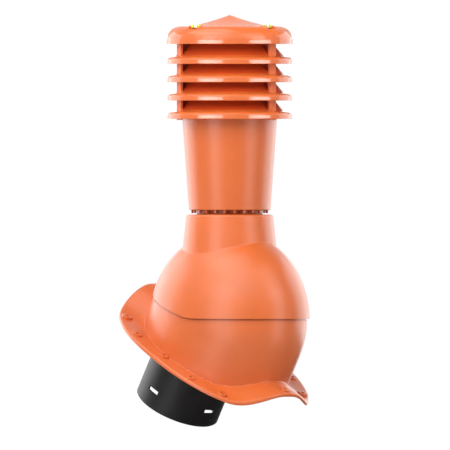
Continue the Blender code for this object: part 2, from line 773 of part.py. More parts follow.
def main():
    for thing in list(bpy.data.objects):
        bpy.data.objects.remove(thing, do_unlink=True)

    orange = finish("orange_plastic", (0.80, 0.20, 0.07), 0.38)
    black = finish("black_plastic", (0.022, 0.022, 0.024), 0.42)
    liquid = finish("level_liquid", (0.62, 0.80, 0.05), 0.12, 0.75)

    roof = empty("roof_plane", (0.0, 0.0, 0.0), ROOF_PITCH)
    drop = -PIVOT_HEIGHT * math.sin(ROOF_PITCH)
    head = empty("head_pivot", (0.0, drop, PIVOT_HEIGHT * math.cos(ROOF_PITCH)), 0.0)

    base_flange(orange, roof)
    duct_stub(black, roof)
    dome_hood(orange, head)
    vent_pipe(orange, head)
    for number in range(1, LOUVRE_COUNT + 1):
        louvre_ring(number, orange, head)
    cap_cover(orange, head)
    for name, turn in LEVEL_TURNS.items():
        level_vial(name, turn, liquid, head)


main()
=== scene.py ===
import math

import bmesh
import bpy
from mathutils import Matrix, Vector


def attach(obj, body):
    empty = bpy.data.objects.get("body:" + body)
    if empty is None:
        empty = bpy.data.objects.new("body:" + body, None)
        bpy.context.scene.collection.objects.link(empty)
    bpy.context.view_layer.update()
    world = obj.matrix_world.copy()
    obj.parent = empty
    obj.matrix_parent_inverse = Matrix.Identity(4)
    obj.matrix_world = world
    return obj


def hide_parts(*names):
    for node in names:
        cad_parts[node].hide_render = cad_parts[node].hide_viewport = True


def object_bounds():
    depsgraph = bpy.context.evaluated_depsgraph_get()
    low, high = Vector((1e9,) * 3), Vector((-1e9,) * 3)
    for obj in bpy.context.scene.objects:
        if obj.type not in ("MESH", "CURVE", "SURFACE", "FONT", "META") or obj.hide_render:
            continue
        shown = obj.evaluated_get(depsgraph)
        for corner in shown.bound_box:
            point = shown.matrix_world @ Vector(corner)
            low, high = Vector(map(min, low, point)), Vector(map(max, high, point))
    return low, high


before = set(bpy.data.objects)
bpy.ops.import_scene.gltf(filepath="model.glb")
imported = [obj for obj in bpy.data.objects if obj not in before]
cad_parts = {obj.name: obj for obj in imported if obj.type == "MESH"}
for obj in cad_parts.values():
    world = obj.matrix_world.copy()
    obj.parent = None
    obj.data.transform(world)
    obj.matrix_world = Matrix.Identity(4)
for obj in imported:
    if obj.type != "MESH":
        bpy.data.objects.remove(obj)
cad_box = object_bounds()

# Roof, pivot and head, as the solids have them
PITCH = math.radians(30.0)
PIVOT_HEIGHT = 0.045
HEAD = Vector((0.0, -PIVOT_HEIGHT * math.sin(PITCH), PIVOT_HEIGHT * math.cos(PITCH)))
ROUND = 128

# The photo: size of a pixel on the vent, side in pixels, and its middle as seen from the head's foot
PIXEL = 0.00145
PHOTO_SIDE = 450.0
AIM_UP = 94.0
AIM_LEFT = 4.7


# Camera and studio

def camera():
    """A long lens, level, from in front and to the left of the roof's fall."""
    right = Vector((math.sqrt(0.5), -math.sqrt(0.5), 0.0))
    back = Vector((-math.sqrt(0.5), -math.sqrt(0.5), 0.0))
    aim = HEAD + Vector((0.0, 0.0, AIM_UP * PIXEL)) - right * AIM_LEFT * PIXEL
    bpy.ops.object.camera_add(location=aim + back * 2.0, rotation=(math.pi / 2.0, 0.0, -math.pi / 4.0))
    lens = bpy.context.object.data
    lens.type = "ORTHO"
    lens.ortho_scale = PHOTO_SIDE * PIXEL
    bpy.context.scene.camera = bpy.context.object


def softbox(name, azimuth, height, distance, size, power, aim_height=0.25):
    """An area light aimed at the vent: azimuth 0 is at the camera, positive to its right."""
    angle = math.radians(-135.0 + azimuth)
    place = Vector((math.cos(angle) * distance, math.sin(angle) * distance, height))
    aim = Vector((0.0, HEAD.y, aim_height))
    bpy.ops.object.light_add(type="AREA", location=place)
    lamp = bpy.context.object
    lamp.name = name
    lamp.rotation_euler = (place - aim).to_track_quat("Z", "Y").to_euler()
    lamp.data.shape = "RECTANGLE"
    lamp.data.size, lamp.data.size_y = size
    lamp.data.energy = power
    lamp.visible_camera = False
    return lamp


def surroundings(ambient):
    """A white backdrop for the camera, and a dim white for the vent, from below and from above."""
    world = bpy.data.worlds.new("studio_white")
    bpy.context.scene.world = world
    world.use_nodes = True
    nodes, links = world.node_tree.nodes, world.node_tree.links
    backdrop = nodes["Background"]
    backdrop.inputs["Color"].default_value = (1.0, 1.0, 1.0, 1.0)
    soft = nodes.new("ShaderNodeBackground")
    soft.inputs["Color"].default_value = (1.0, 1.0, 1.0, 1.0)
    place = nodes.new("ShaderNodeTexCoord")
    split = nodes.new("ShaderNodeSeparateXYZ")
    fade = nodes.new("ShaderNodeMapRange")
    fade.inputs["From Min"].default_value = -0.6
    fade.inputs["From Max"].default_value = 0.9
    fade.inputs["To Min"].default_value = ambient[0]
    fade.inputs["To Max"].default_value = ambient[1]
    links.new(place.outputs["Generated"], split.inputs["Vector"])
    links.new(split.outputs["Z"], fade.inputs["Value"])
    links.new(fade.outputs["Result"], soft.inputs["Strength"])
    path = nodes.new("ShaderNodeLightPath")
    blend = nodes.new("ShaderNodeMixShader")
    links.new(path.outputs["Is Camera Ray"], blend.inputs["Fac"])
    links.new(soft.outputs["Background"], blend.inputs[1])
    links.new(backdrop.outputs["Background"], blend.inputs[2])
    links.new(blend.outputs["Shader"], nodes["World Output"].inputs["Surface"])


def studio():
    """Soft panels in front and behind, and two far strips that light only the pieces in a collection."""
    surroundings((0.02, 0.10))
    # Name, azimuth, height, distance, size, power, and the height aimed at
    softbox("panel_left", -38.0, 1.40, 1.3, (1.7, 1.5), 7.0)
    softbox("panel_side", -88.0, 1.0, 1.5, (1.2, 1.0), 5.0).visible_glossy = False
    softbox("panel_right", 50.0, 1.20, 1.3, (1.0, 1.2), 5.0)
    softbox("panel_top", -70.0, 1.8, 0.6, (1.4, 1.4), 9.5)
    softbox("panel_front", -12.0, 1.20, 1.2, (1.3, 1.1), 17.0).visible_glossy = False
    softbox("tall_left", -38.0, 0.4, 3.0, (1.4, 3.6), 32.0, 0.5)
    softbox("tall_right", 55.0, 0.4, 3.0, (1.3, 3.6), 26.0, 0.5)
    softbox("panel_back", 180.0, 1.1, 1.5, (2.6, 1.4), 6.0)
    softbox("low_back", 180.0, 0.2, 1.5, (2.6, 0.9), 9.5, 0.2)
    softbox("rim_left", -122.0, 0.45, 1.5, (1.2, 1.4), 10.6)
    softbox("rim_right", 122.0, 0.45, 1.5, (1.2, 1.4), 10.0)
    strips = [
        softbox("strip_left", -36.0, 0.41, 6.0, (5.2, 0.45), 70.0, 0.41),
        softbox("strip_right", 58.0, 0.41, 6.0, (4.7, 0.45), 58.0, 0.41),
    ]
    glossy = bpy.data.collections.new("strip_lit_pieces")
    for lamp in strips:
        lamp.visible_diffuse = False
        lamp.light_linking.receiver_collection = glossy
    bpy.context.scene.view_settings.view_transform = "Standard"
    return glossy


FLOOR_SIDE = 8.0
FLOOR_GAP = 0.004


def floor():
    """The pale floor, clear below the duct stub."""
    deselect()
    bpy.ops.mesh.primitive_plane_add(size=FLOOR_SIDE, location=(0.0, 0.0, cad_box[0][2] - FLOOR_GAP))
    ground = bpy.context.object
    ground.name = "studio_floor"
    settle(ground)
    bpy.ops.object.mode_set(mode="EDIT")
    bpy.ops.mesh.select_all(action="SELECT")
    bpy.ops.mesh.subdivide(number_cuts=3)
    bpy.ops.object.mode_set(mode="OBJECT")
    paint(ground, material("pale_floor", (0.66, 0.66, 0.66), 0.7, speckle=0.02, scale=40.0))
    ground.visible_glossy = False
    ground.visible_shadow = False


# Handling

def deselect():
    """Back to object mode, with nothing selected."""
    if bpy.context.object and bpy.context.object.mode != "OBJECT":
        bpy.ops.object.mode_set(mode="OBJECT")
    bpy.ops.object.select_all(action="DESELECT")


def take(piece):
    """Make one piece the only one selected."""
    deselect()
    piece.select_set(True)
    bpy.context.view_layer.objects.active = piece


def settle(piece):
    """Put a piece's place, turn and size into its mesh."""
    take(piece)
    bpy.ops.object.transform_apply(location=True, rotation=True, scale=True)


def press(piece, kind, **values):
    """Add a modifier and apply it."""
    take(piece)
    modifier = piece.modifiers.new(kind.title(), kind)
    for key, value in values.items():
        setattr(modifier, key, value)
    bpy.ops.object.modifier_apply(modifier=modifier.name)


def merge(pieces, name):
    """Join pieces into one mesh."""
    take(pieces[0])
    for piece in pieces[1:]:
        piece.select_set(True)
    if len(pieces) > 1:
        bpy.ops.object.join()
    joined = bpy.context.object
    joined.name = name
    return joined


def cut(piece, cutter, operation="DIFFERENCE"):
    """Cut one piece with another, or join them as one body."""
    press(piece, "BOOLEAN", operation=operation, solver="EXACT", object=cutter)
    bpy.data.objects.remove(cutter, do_unlink=True)


def right_way_out(piece):
    """Merge doubles and turn every face outwards."""
    take(piece)
    bpy.ops.object.mode_set(mode="EDIT")
    bpy.ops.mesh.select_all(action="SELECT")
    bpy.ops.mesh.remove_doubles(threshold=0.000005)
    bpy.ops.mesh.normals_make_consistent(inside=False)
    bpy.ops.object.mode_set(mode="OBJECT")


def smooth(piece, degrees=35.0):
    """Smooth, with edges sharper than this kept crisp."""
    take(piece)
    bpy.ops.object.shade_smooth_by_angle(angle=math.radians(degrees))


def pick(piece, test, kind="EDGE"):
    """In edit mode, select the edges or faces whose corners all pass a test."""
    bpy.ops.mesh.select_mode(type=kind)
    bpy.ops.mesh.select_all(action="DESELECT")
    bm = bmesh.from_edit_mesh(piece.data)
    parts = bm.edges if kind == "EDGE" else bm.faces
    for part in parts:
        if all(test(vert.co) for vert in part.verts):
            part.select_set(True)
    bmesh.update_edit_mesh(piece.data)


def turn_section(name, section, sides=ROUND, poles=False):
    """Draw a section of (radius, height) points, from a first circle by extruding and scaling."""
    deselect()
    radius, height = section[0]
    bpy.ops.mesh.primitive_circle_add(vertices=sides, radius=radius, location=(0.0, 0.0, height))
    piece = bpy.context.object
    piece.name = name
    settle(piece)
    bpy.ops.object.mode_set(mode="EDIT")
    bpy.ops.mesh.select_mode(type="EDGE")
    bpy.ops.mesh.select_all(action="SELECT")
    for point in section[1:]:
        move = (0.0, 0.0, point[1] - height)
        bpy.ops.mesh.extrude_region_move(TRANSFORM_OT_translate={"value": move})
        height = point[1]
        share = point[0] / radius
        if abs(share - 1.0) > 1e-9:
            bpy.ops.transform.resize(value=(share, share, 1.0), center_override=(0.0, 0.0, height))
        radius = point[0]
    if poles:
        bpy.ops.mesh.merge(type="CENTER")
        bpy.ops.mesh.select_mode(type="EDGE")
        bpy.ops.mesh.select_non_manifold()
        bpy.ops.mesh.merge(type="CENTER")
    else:
        bpy.ops.mesh.select_mode(type="EDGE")
        bpy.ops.mesh.select_all(action="DESELECT")
        bpy.ops.mesh.select_non_manifold()
        bpy.ops.mesh.bridge_edge_loops()
    bpy.ops.object.mode_set(mode="OBJECT")
    right_way_out(piece)
    return piece


def round_loop(piece, radius, height, width, segments):
    """Round the edge loop at this radius and height."""
    take(piece)
    bpy.ops.object.mode_set(mode="EDIT")
    pick(piece, lambda co: abs(co.xy.length - radius) < 2e-5 and abs(co.z - height) < 2e-5)
    bpy.ops.mesh.bevel(offset=width, segments=segments, affect="EDGES")
    bpy.ops.object.mode_set(mode="OBJECT")


def swept(center, radii, start, end, steps):
    """Points of an elliptical corner in a section, both ends included; angles in degrees."""
    points = []
    for step in range(steps + 1):
        angle = math.radians(start + (end - start) * step / steps)
        points.append((center[0] + radii[0] * math.cos(angle), center[1] + radii[1] * math.sin(angle)))
    return points


def bar(name, radial, width, low, high, turn, bevel=0.0004):
    """A small upright bar at a turn round the axis, with eased edges."""
    deselect()
    bpy.ops.mesh.primitive_cube_add(size=1.0, location=(sum(radial) / 2.0, 0.0, (low + high) / 2.0))
    piece = bpy.context.object
    piece.name = name
    piece.scale = (radial[1] - radial[0], width, high - low)
    settle(piece)
    if bevel:
        press(piece, "BEVEL", width=bevel, segments=2, limit_method="ANGLE")
    piece.rotation_euler = (0.0, 0.0, math.radians(turn))
    settle(piece)
    return piece


def plate(name, points, push, turn):
    """Lay a filled circle's corners on these points, extrude it, and turn it round the axis."""
    deselect()
    bpy.ops.mesh.primitive_circle_add(vertices=len(points), radius=1.0, fill_type="NGON")
    piece = bpy.context.object
    piece.name = name
    bpy.ops.object.mode_set(mode="EDIT")
    bm = bmesh.from_edit_mesh(piece.data)
    for vert, point in zip(bm.verts, points):
        vert.co = point
    bmesh.update_edit_mesh(piece.data)
    bpy.ops.mesh.select_all(action="SELECT")
    bpy.ops.mesh.extrude_region_move(TRANSFORM_OT_translate={"value": push})
    bpy.ops.object.mode_set(mode="OBJECT")
    piece.rotation_euler = (0.0, 0.0, math.radians(turn))
    settle(piece)
    right_way_out(piece)
    return piece


def on_head(piece):
    """Set a piece that was drawn round the Z axis on the head's axis."""
    piece.location = HEAD
    settle(piece)
    smooth(piece)
    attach(piece, "vent_head")


def on_roof(piece):
    """Lay a piece that was drawn level on the roof's pitch."""
    piece.rotation_euler = (PITCH, 0.0, 0.0)
    settle(piece)
    smooth(piece)
    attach(piece, "roof_base")


# Finishes

def material(name, color, roughness, speckle=0.03, scale=90.0, coat=0.0, bump=0.0, **sockets):
    """A moulded plastic: slight clouds in its colour and gloss, and a fine grain."""
    finish = bpy.data.materials.new(name)
    finish.use_nodes = True
    nodes = finish.node_tree.nodes
    links = finish.node_tree.links
    shader = nodes["Principled BSDF"]
    place = nodes.new("ShaderNodeTexCoord")
    clouds = nodes.new("ShaderNodeTexNoise")
    clouds.inputs["Scale"].default_value = scale
    clouds.inputs["Detail"].default_value = 4.0
    links.new(place.outputs["Object"], clouds.inputs["Vector"])
    tint = nodes.new("ShaderNodeValToRGB")
    low, high = tint.color_ramp.elements
    low.position, high.position = 0.3, 0.7
    low.color = (*[channel * (1.0 - speckle) for channel in color], 1.0)
    high.color = (*[min(channel * (1.0 + speckle), 1.0) for channel in color], 1.0)
    links.new(clouds.outputs["Fac"], tint.inputs["Fac"])
    links.new(tint.outputs["Color"], shader.inputs["Base Color"])
    gloss = nodes.new("ShaderNodeMapRange")
    gloss.inputs["To Min"].default_value = roughness * 0.92
    gloss.inputs["To Max"].default_value = roughness * 1.08
    links.new(clouds.outputs["Fac"], gloss.inputs["Value"])
    links.new(gloss.outputs["Result"], shader.inputs["Roughness"])
    if bump:
        grain = nodes.new("ShaderNodeTexNoise")
        grain.inputs["Scale"].default_value = 1400.0
        grain.inputs["Detail"].default_value = 2.0
        links.new(place.outputs["Object"], grain.inputs["Vector"])
        relief = nodes.new("ShaderNodeBump")
        relief.inputs["Strength"].default_value = bump
        relief.inputs["Distance"].default_value = 0.0002
        links.new(grain.outputs["Fac"], relief.inputs["Height"])
        links.new(relief.outputs["Normal"], shader.inputs["Normal"])
    shader.inputs["Coat Weight"].default_value = coat
    shader.inputs["Coat Roughness"].default_value = 0.18
    shader.inputs["Coat IOR"].default_value = 1.5
    shader.inputs["Specular IOR Level"].default_value = 0.6
    for key, value in sockets.items():
        shader.inputs[key.replace("_", " ")].default_value = value
    return finish


def paint(piece, finish):
    """Give a piece one finish all over."""
    piece.data.materials.clear()
    piece.data.materials.append(finish)


def assign(piece, finish, number, test):
    """Give the faces whose corners all pass a test a finish of their own."""
    piece.data.materials.append(finish)
    take(piece)
    bpy.ops.object.mode_set(mode="EDIT")
    pick(piece, test, "FACE")
    piece.active_material_index = number
    bpy.ops.object.material_slot_assign()
    bpy.ops.object.mode_set(mode="OBJECT")


# Pipe

COLLAR_TOP = 0.1515
SHELF_TOP = 0.131
PIPE_BOTTOM = 0.1580
PIPE_LOW = 0.0593
PIPE_HIGH = 0.0688
PIPE_LENGTH = 0.1321
PIPE_TAPER = (PIPE_HIGH - PIPE_LOW) / PIPE_LENGTH
PIPE_WALL = 0.003
RIM_OUTSIDE = 0.1487
RIM_INSIDE = 0.1518
NECK = 0.048
NECK_WALL = 0.0045
SPIGOT_STEP = 0.0018
SPIGOT_FOOT = 0.125
SEAT_GAP = 0.0003
PEG_COUNT = 24
PEG_REACH = (0.0529, 0.0561)
PEG_WIDTH = 0.0032
PEG_LENGTH = 0.0045
LOUVRE_START = 0.2901
LOUVRE_PITCH = 0.0266


def pipe(orange):
    """The tapered pipe on its neck, with a ring of pegs under its lower edge."""
    section = [
        (NECK, SHELF_TOP + SEAT_GAP),
        (NECK, PIPE_BOTTOM),
        (PIPE_LOW, PIPE_BOTTOM),
        (PIPE_LOW + PIPE_TAPER * RIM_OUTSIDE, PIPE_BOTTOM + RIM_OUTSIDE),
        (PIPE_LOW + PIPE_TAPER * RIM_INSIDE - PIPE_WALL, PIPE_BOTTOM + RIM_INSIDE),
        (PIPE_LOW - PIPE_WALL, PIPE_BOTTOM + PIPE_WALL),
        (NECK - NECK_WALL, PIPE_BOTTOM + PIPE_WALL),
        (NECK - NECK_WALL, SPIGOT_FOOT),
        (NECK - SPIGOT_STEP, SPIGOT_FOOT),
        (NECK - SPIGOT_STEP, SHELF_TOP + SEAT_GAP),
    ]
    body = turn_section("vent_pipe_skin", section)
    round_loop(body, PIPE_LOW, PIPE_BOTTOM, 0.0010, 4)
    round_loop(body, NECK, PIPE_BOTTOM, 0.0012, 3)
    pegs = []
    foot, root = PIPE_BOTTOM - PEG_LENGTH, PIPE_BOTTOM + 0.001
    for step in range(PEG_COUNT):
        turn = 360.0 * (step + 0.5) / PEG_COUNT
        pegs.append(bar("peg", PEG_REACH, PEG_WIDTH, foot, root, turn))
    body = merge([body, *pegs], "vent_pipe_skin")
    paint(body, orange)
    on_head(body)
    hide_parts("vent_pipe")


# Louvres

LIP = 0.0912
LIP_BAND = 0.0056
LIP_SPREAD = 0.0095
LIP_ROUND = 0.0051
LIP_WALL = 0.0025
BRIM = 0.0768
BRIM_RISE = 0.0132
CONE_TOP = 0.0595
STEEP = math.tan(math.radians(48.0))
POST_TURNS = (-83.0, 37.0, 157.0)
LAST_POST = 0.048
FIN_REACH = (0.0615, 0.0782)
FIN_FOOT = 0.0118
FIN_THICKNESS = 0.0024


def ring_section(base):
    """Cone, brim and lip of one louvre, with its wall."""
    top = base + BRIM_RISE
    cone_rise = (BRIM - CONE_TOP) * STEEP
    outer = [(LIP, base), (LIP, base + 0.0010), (LIP, base + 0.0053), (LIP, base + LIP_BAND)]
    outer += swept((LIP - LIP_SPREAD, base + LIP_BAND), (LIP_SPREAD, LIP_ROUND), 12.0, 90.0, 7)
    outer += [(BRIM + 0.001, top - 0.0004), (BRIM - 0.0006, top + 0.0009), (CONE_TOP, top + cone_rise)]
    inner = [
        (CONE_TOP - 0.0019, top + cone_rise - 0.0017),
        (BRIM - 0.0016, base + 0.0107),
        (LIP - LIP_SPREAD, base + 0.0082),
        (LIP - 0.0045, base + 0.0070),
        (LIP - LIP_WALL, base + 0.0050),
        (LIP - LIP_WALL, base),
    ]
    return outer + inner


def post(base, top, turn):
    """A post with three fine grooves down its outer face."""
    inner, outer, half, ease = 0.0762, 0.0798, 0.0075, 0.0006
    groove, mouth, bed, depth = 0.0043, 0.0008, 0.0002, 0.0008
    section = [(inner, -half), (outer - ease, -half), (outer, ease - half)]
    for middle in (-groove, 0.0, groove):
        section += [(outer, middle - mouth), (outer - depth, middle - bed)]
        section += [(outer - depth, middle + bed), (outer, middle + mouth)]
    section += [(outer, half - ease), (outer - ease, half), (inner, half)]
    return plate("post", [(x, y, base) for x, y in section], (0.0, 0.0, top - base), turn)


def fin(base, turn, last):
    """The thin plate that ties a post to the cones inside it."""
    near, far = FIN_REACH
    foot = base + FIN_FOOT + (BRIM - near) * STEEP - 0.003
    above = base + LOUVRE_PITCH
    high = above + 0.0105
    head = above + 0.0095 + (BRIM - near) * STEEP - 0.0012
    if last:
        high = base + LAST_POST
        head = high
    corners = [(far, base + FIN_FOOT), (far, high), (near, head), (near, foot)]
    side = [(x, -FIN_THICKNESS / 2.0, z) for x, z in corners]
    return plate("fin", side, (0.0, FIN_THICKNESS, 0.0), turn)


def louvres(gloss, painted_shade_cones, painted_light_posts, painted_shade_fins):
    """Four rings, stacked on their posts: lips in the gloss, cones painted darker and redder as painted
    shade, posts painted lighter as painted light, fins painted dark as painted shade.
    """
    rings = []
    for number in range(1, 5):
        base = LOUVRE_START + LOUVRE_PITCH * (number - 1)
        ring = turn_section(f"louvre_skin_{number}", ring_section(base))
        round_loop(ring, LIP, base, 0.0006, 2)
        paint(ring, gloss)
        # The cone faces inside the brim get a darker, redder colour: painted shade for the shade under the
        # lips.
        assign(ring, painted_shade_cones, 1, lambda co: co.xy.length < BRIM + 0.002)
        last = number == 4
        post_top = base + (LAST_POST if last else LOUVRE_PITCH + 0.0088)
        post_foot = base - 0.0015 if number == 1 else base + 0.0112
        posts = [post(post_foot, post_top, turn) for turn in POST_TURNS]
        fins = [fin(base, turn, last) for turn in POST_TURNS]
        # The posts get a lighter colour than the rings: painted light for the front light on them.
        for piece in posts:
            paint(piece, painted_light_posts)
        # The fins get a dark colour: painted shade for the shadow between the rings.
        for piece in fins:
            paint(piece, painted_shade_fins)
        ring = merge([ring, *posts, *fins], f"louvre_skin_{number}")
        on_head(ring)
        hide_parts(f"louvre_ring_{number}")
        rings.append(ring)
    return rings


# Cap

CAP_BASE = LOUVRE_START + LOUVRE_PITCH * 3 + 0.0289
CAP_RADIUS = 0.0924
CAP_BAND = 0.0058
CAP_ROUND = 0.0203
CAP_WALL = 0.0025
SHOULDER = 0.0705
SHOULDER_RISE = 0.0261
PEAK_RISE = 0.0161
CAP_FLARE = 1.6
LEVEL_TURNS = (("left", 183.5), ("front", 273.5))
LEVEL_CIRCLE = 0.0723
LEVEL_SEAT = CAP_BASE + 0.0222
CRADLE_REACH = (0.0675, 0.0770)
CRADLE_WIDTH = 0.0230
CHANNEL_START = 0.0694
CHANNEL_WIDTH = 0.0176


def cap_line(inset, steps):
    """The cap's surface from its lower edge to its peak, this far inside."""
    points = [(CAP_RADIUS - inset, CAP_BASE + rise) for rise in (0.0, 0.0010, 0.0055, CAP_BAND)]
    spread = CAP_RADIUS - SHOULDER - inset
    points += swept((SHOULDER, CAP_BASE + CAP_BAND), (spread, CAP_ROUND - inset), 7.0, 90.0, steps)
    for step in range(1, 13):
        radius = max(SHOULDER * (1.0 - step / 12.0), 0.0003)
        rise = PEAK_RISE * (1.0 - radius / SHOULDER) ** CAP_FLARE
        points.append((radius, CAP_BASE + SHOULDER_RISE - inset + rise))
    return points


def cap(orange):
    """The flared cap, its hollow underside and the cradles for the levels."""
    section = list(reversed(cap_line(0.0, 14))) + cap_line(CAP_WALL, 8)
    body = turn_section("cap_skin", section, poles=True)
    round_loop(body, CAP_RADIUS, CAP_BASE, 0.0006, 2)
    for name, turn in LEVEL_TURNS:
        low, high = LEVEL_SEAT - 0.002, LEVEL_SEAT + 0.0044
        cut(body, bar("cradle", CRADLE_REACH, CRADLE_WIDTH, low, high, turn, 0.0008), "UNION")
        reach = (CHANNEL_START, CAP_RADIUS)
        channel = bar("channel", reach, CHANNEL_WIDTH, LEVEL_SEAT, CAP_BASE + 0.042, turn, 0.0)
        cut(body, channel)
    paint(body, orange)
    on_head(body)
    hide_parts("cap_cover")
    return body


def level(name, turn, finishes):
    """A bubble level: a tube of liquid, with a bubble between two marks."""
    radius, half, bubble, mark = 0.0026, 0.0085, 0.0028, 0.0040
    section = [(radius * 0.5, -half), (radius - 0.0005, -half), (radius, 0.0005 - half)]
    section += [(radius, height) for height in (-mark, -bubble, bubble, mark)]
    section += [(radius, half - 0.0005), (radius - 0.0005, half), (radius * 0.5, half)]
    tube = turn_section(f"level_{name}_skin", section, 32, poles=True)
    for number, finish in enumerate(finishes):
        reach = (half, mark, bubble)[number] + 0.0001
        assign(tube, finish, number, lambda co: abs(co.z) < reach)
    tube.rotation_euler = (math.pi / 2.0, 0.0, 0.0)
    tube.location = (LEVEL_CIRCLE, 0.0, LEVEL_SEAT + 0.0029)
    settle(tube)
    tube.rotation_euler = (0.0, 0.0, math.radians(turn))
    settle(tube)
    on_head(tube)
    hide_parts(f"level_vial_{name}")


# Hood

HOOD_WIDTH = 0.1003
HOOD_LENGTH = 0.1298
HOOD_WALL = 0.0024
REAR_START = 0.0087
REAR_BLEND = 0.0116
COLLAR_FOOT = 0.068
COLLAR_OUTSIDE = 0.0634
COLLAR_INSIDE = 0.0584
COLLAR_ROUND = 0.004
SHELF_HOLE = 0.0466
SHELF_THICKNESS = 0.003
OVAL = 160


def angles():
    """Equal steps round the oval."""
    return [2.0 * math.pi * step / OVAL for step in range(OVAL)]


def rear_line():
    """Start and end of the hood's straight rear edge, along the roof and over the pivot."""
    start = Vector((-REAR_START * math.cos(PITCH), REAR_START * math.sin(PITCH)))
    end = Vector((HOUSING_LENGTH, CREST + REAR_CLEARANCE - PIVOT_HEIGHT))
    return start, end


def hood_height(run):
    """How far the hood's lower edge stands over the pivot line, this far up-slope."""
    near, far = rear_line()
    slope = math.tan(math.atan((far.y - near.y) / (far.x - near.x)) + PITCH)
    along = run + REAR_START
    return slope * (along + math.hypot(along, REAR_BLEND)) / 2.0


def edge_units(length, drop=0.0):
    """Directions of the hood's lower edge, or of a line this far below it."""
    units = []
    for angle in angles():
        level_share = 1.0
        for _ in range(30):
            height = (hood_height(level_share * length * math.sin(angle)) - drop) / length
            level_share = math.sqrt(1.0 - height * height)
        units.append(Vector((level_share * math.cos(angle), level_share * math.sin(angle), height)))
    return units


def collar_units(radius, width, length):
    """Directions of the ring where an upright tube meets the dome."""
    units = []
    for angle in angles():
        across = radius * math.cos(angle) / width
        along = radius * math.sin(angle) / length
        units.append(Vector((across, along, math.sqrt(1.0 - across * across - along * along))))
    return units


def dome_ring(units, others, share, width, length):
    """A ring of points on the dome, part of the way between two rings."""
    ring = []
    for unit, other in zip(units, others):
        way = unit.slerp(other, share)
        ring.append(Vector((way.x * width, way.y * length, way.z * length)))
    return ring


def level_ring(radius, height):
    """A level ring of points."""
    return [Vector((radius * math.cos(angle), radius * math.sin(angle), height)) for angle in angles()]


def loft(name, rings):
    """Extrude a first circle ring by ring, lay each new ring on its points, and bridge the ends."""
    deselect()
    bpy.ops.mesh.primitive_circle_add(vertices=len(rings[0]), radius=1.0)
    piece = bpy.context.object
    piece.name = name
    bpy.ops.object.mode_set(mode="EDIT")
    bpy.ops.mesh.select_all(action="SELECT")
    for number, ring in enumerate(rings):
        if number:
            bpy.ops.mesh.extrude_region_move()
        bm = bmesh.from_edit_mesh(piece.data)
        bm.verts.ensure_lookup_table()
        first = len(bm.verts) - len(ring)
        for step, point in enumerate(ring):
            bm.verts[first + step].co = point
        bmesh.update_edit_mesh(piece.data)
    bpy.ops.mesh.select_all(action="DESELECT")
    bpy.ops.mesh.select_mode(type="EDGE")
    bpy.ops.mesh.select_non_manifold()
    bpy.ops.mesh.bridge_edge_loops()
    bpy.ops.object.mode_set(mode="OBJECT")
    right_way_out(piece)
    return piece


def hood(orange):
    """The hood: a dome about the pivot line, with its collar and the shelf in it."""
    outer = (HOOD_WIDTH, HOOD_LENGTH)
    inner = (HOOD_WIDTH - HOOD_WALL, HOOD_LENGTH - HOOD_WALL)
    edge = edge_units(outer[1])
    inner_edge = edge_units(inner[1])
    foot = collar_units(0.0695, *outer)
    root = collar_units(COLLAR_INSIDE, *inner)
    rings = []
    for step in range(25):
        rings.append(dome_ring(edge, foot, step / 24.0, *outer))
    fillet = dome_ring(collar_units(COLLAR_FOOT, *outer), foot, 0.0, *outer)
    for share in (0.35, 0.7, 1.0):
        ring = []
        for low, high in zip(rings[24], fillet):
            corner = Vector((high.x, high.y, high.z))
            top = Vector((high.x, high.y, high.z + 0.0015))
            ring.append(low.lerp(corner, share).lerp(corner.lerp(top, share), share))
        rings.append(ring)
    top = COLLAR_TOP
    bend = (0.0594, top - COLLAR_ROUND)
    rings += [level_ring(COLLAR_OUTSIDE, top - COLLAR_ROUND)]
    rings += [level_ring(*point) for point in swept(bend, (COLLAR_ROUND, COLLAR_ROUND), 18.0, 90.0, 4)]
    rings += [level_ring(0.0588, top), level_ring(COLLAR_INSIDE, top - 0.0004)]
    rings += [level_ring(COLLAR_INSIDE, SHELF_TOP), level_ring(SHELF_HOLE, SHELF_TOP)]
    rings += [level_ring(SHELF_HOLE, SHELF_TOP - SHELF_THICKNESS)]
    rings += [level_ring(COLLAR_INSIDE, SHELF_TOP - SHELF_THICKNESS)]
    for step in range(17):
        rings.append(dome_ring(inner_edge, root, 1.0 - step / 16.0, *inner))
    body = loft("hood_skin", rings)
    paint(body, orange)
    on_head(body)
    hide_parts("dome_hood")


# Flange and housing

FLANGE_WIDTH = 0.1240
FLANGE_LENGTH = 0.1609
SQUARENESS = 2.24
CREST = 0.0129
TROUGH = -0.0168
HOUSING_WIDTH = 0.0967
HOUSING_LENGTH = 0.1262
GROOVE = 0.0014
WALL = 0.003
REAR_CLEARANCE = 0.0088
CREST_HALF = 0.0064
TROUGH_START = 0.0844
RIM_DEPTH = 0.0056
FOOT_FILLET = 0.001
STUB_OFFSET = 0.0305
FLOOR_HOLE = 0.0629
BOSS_RADIUS = 0.0078
BOSS_RISE = 0.0018
BOSS_HOLE = 0.0023
BOSS_BEARING = math.radians(53.4)
BOSS_STEP = 0.0628
END_INSET, SIDE_INSET, CORNER_INSET = 0.0121, 0.0195, 0.0107


def wave(across):
    """Height of the flange's top, this far from its middle line."""
    run = min(max((abs(across) - CREST_HALF) / (TROUGH_START - CREST_HALF), 0.0), 1.0)
    return CREST + (TROUGH - CREST) * run * run * (3.0 - 2.0 * run)


def oval(offset, lift):
    """The housing's oval, this far outside its wall, on the wave."""
    ring = []
    for angle in angles():
        x = (HOUSING_WIDTH + offset) * math.cos(angle)
        y = (HOUSING_LENGTH + offset) * math.sin(angle)
        ring.append(Vector((x, y, wave(x) + lift)))
    return ring


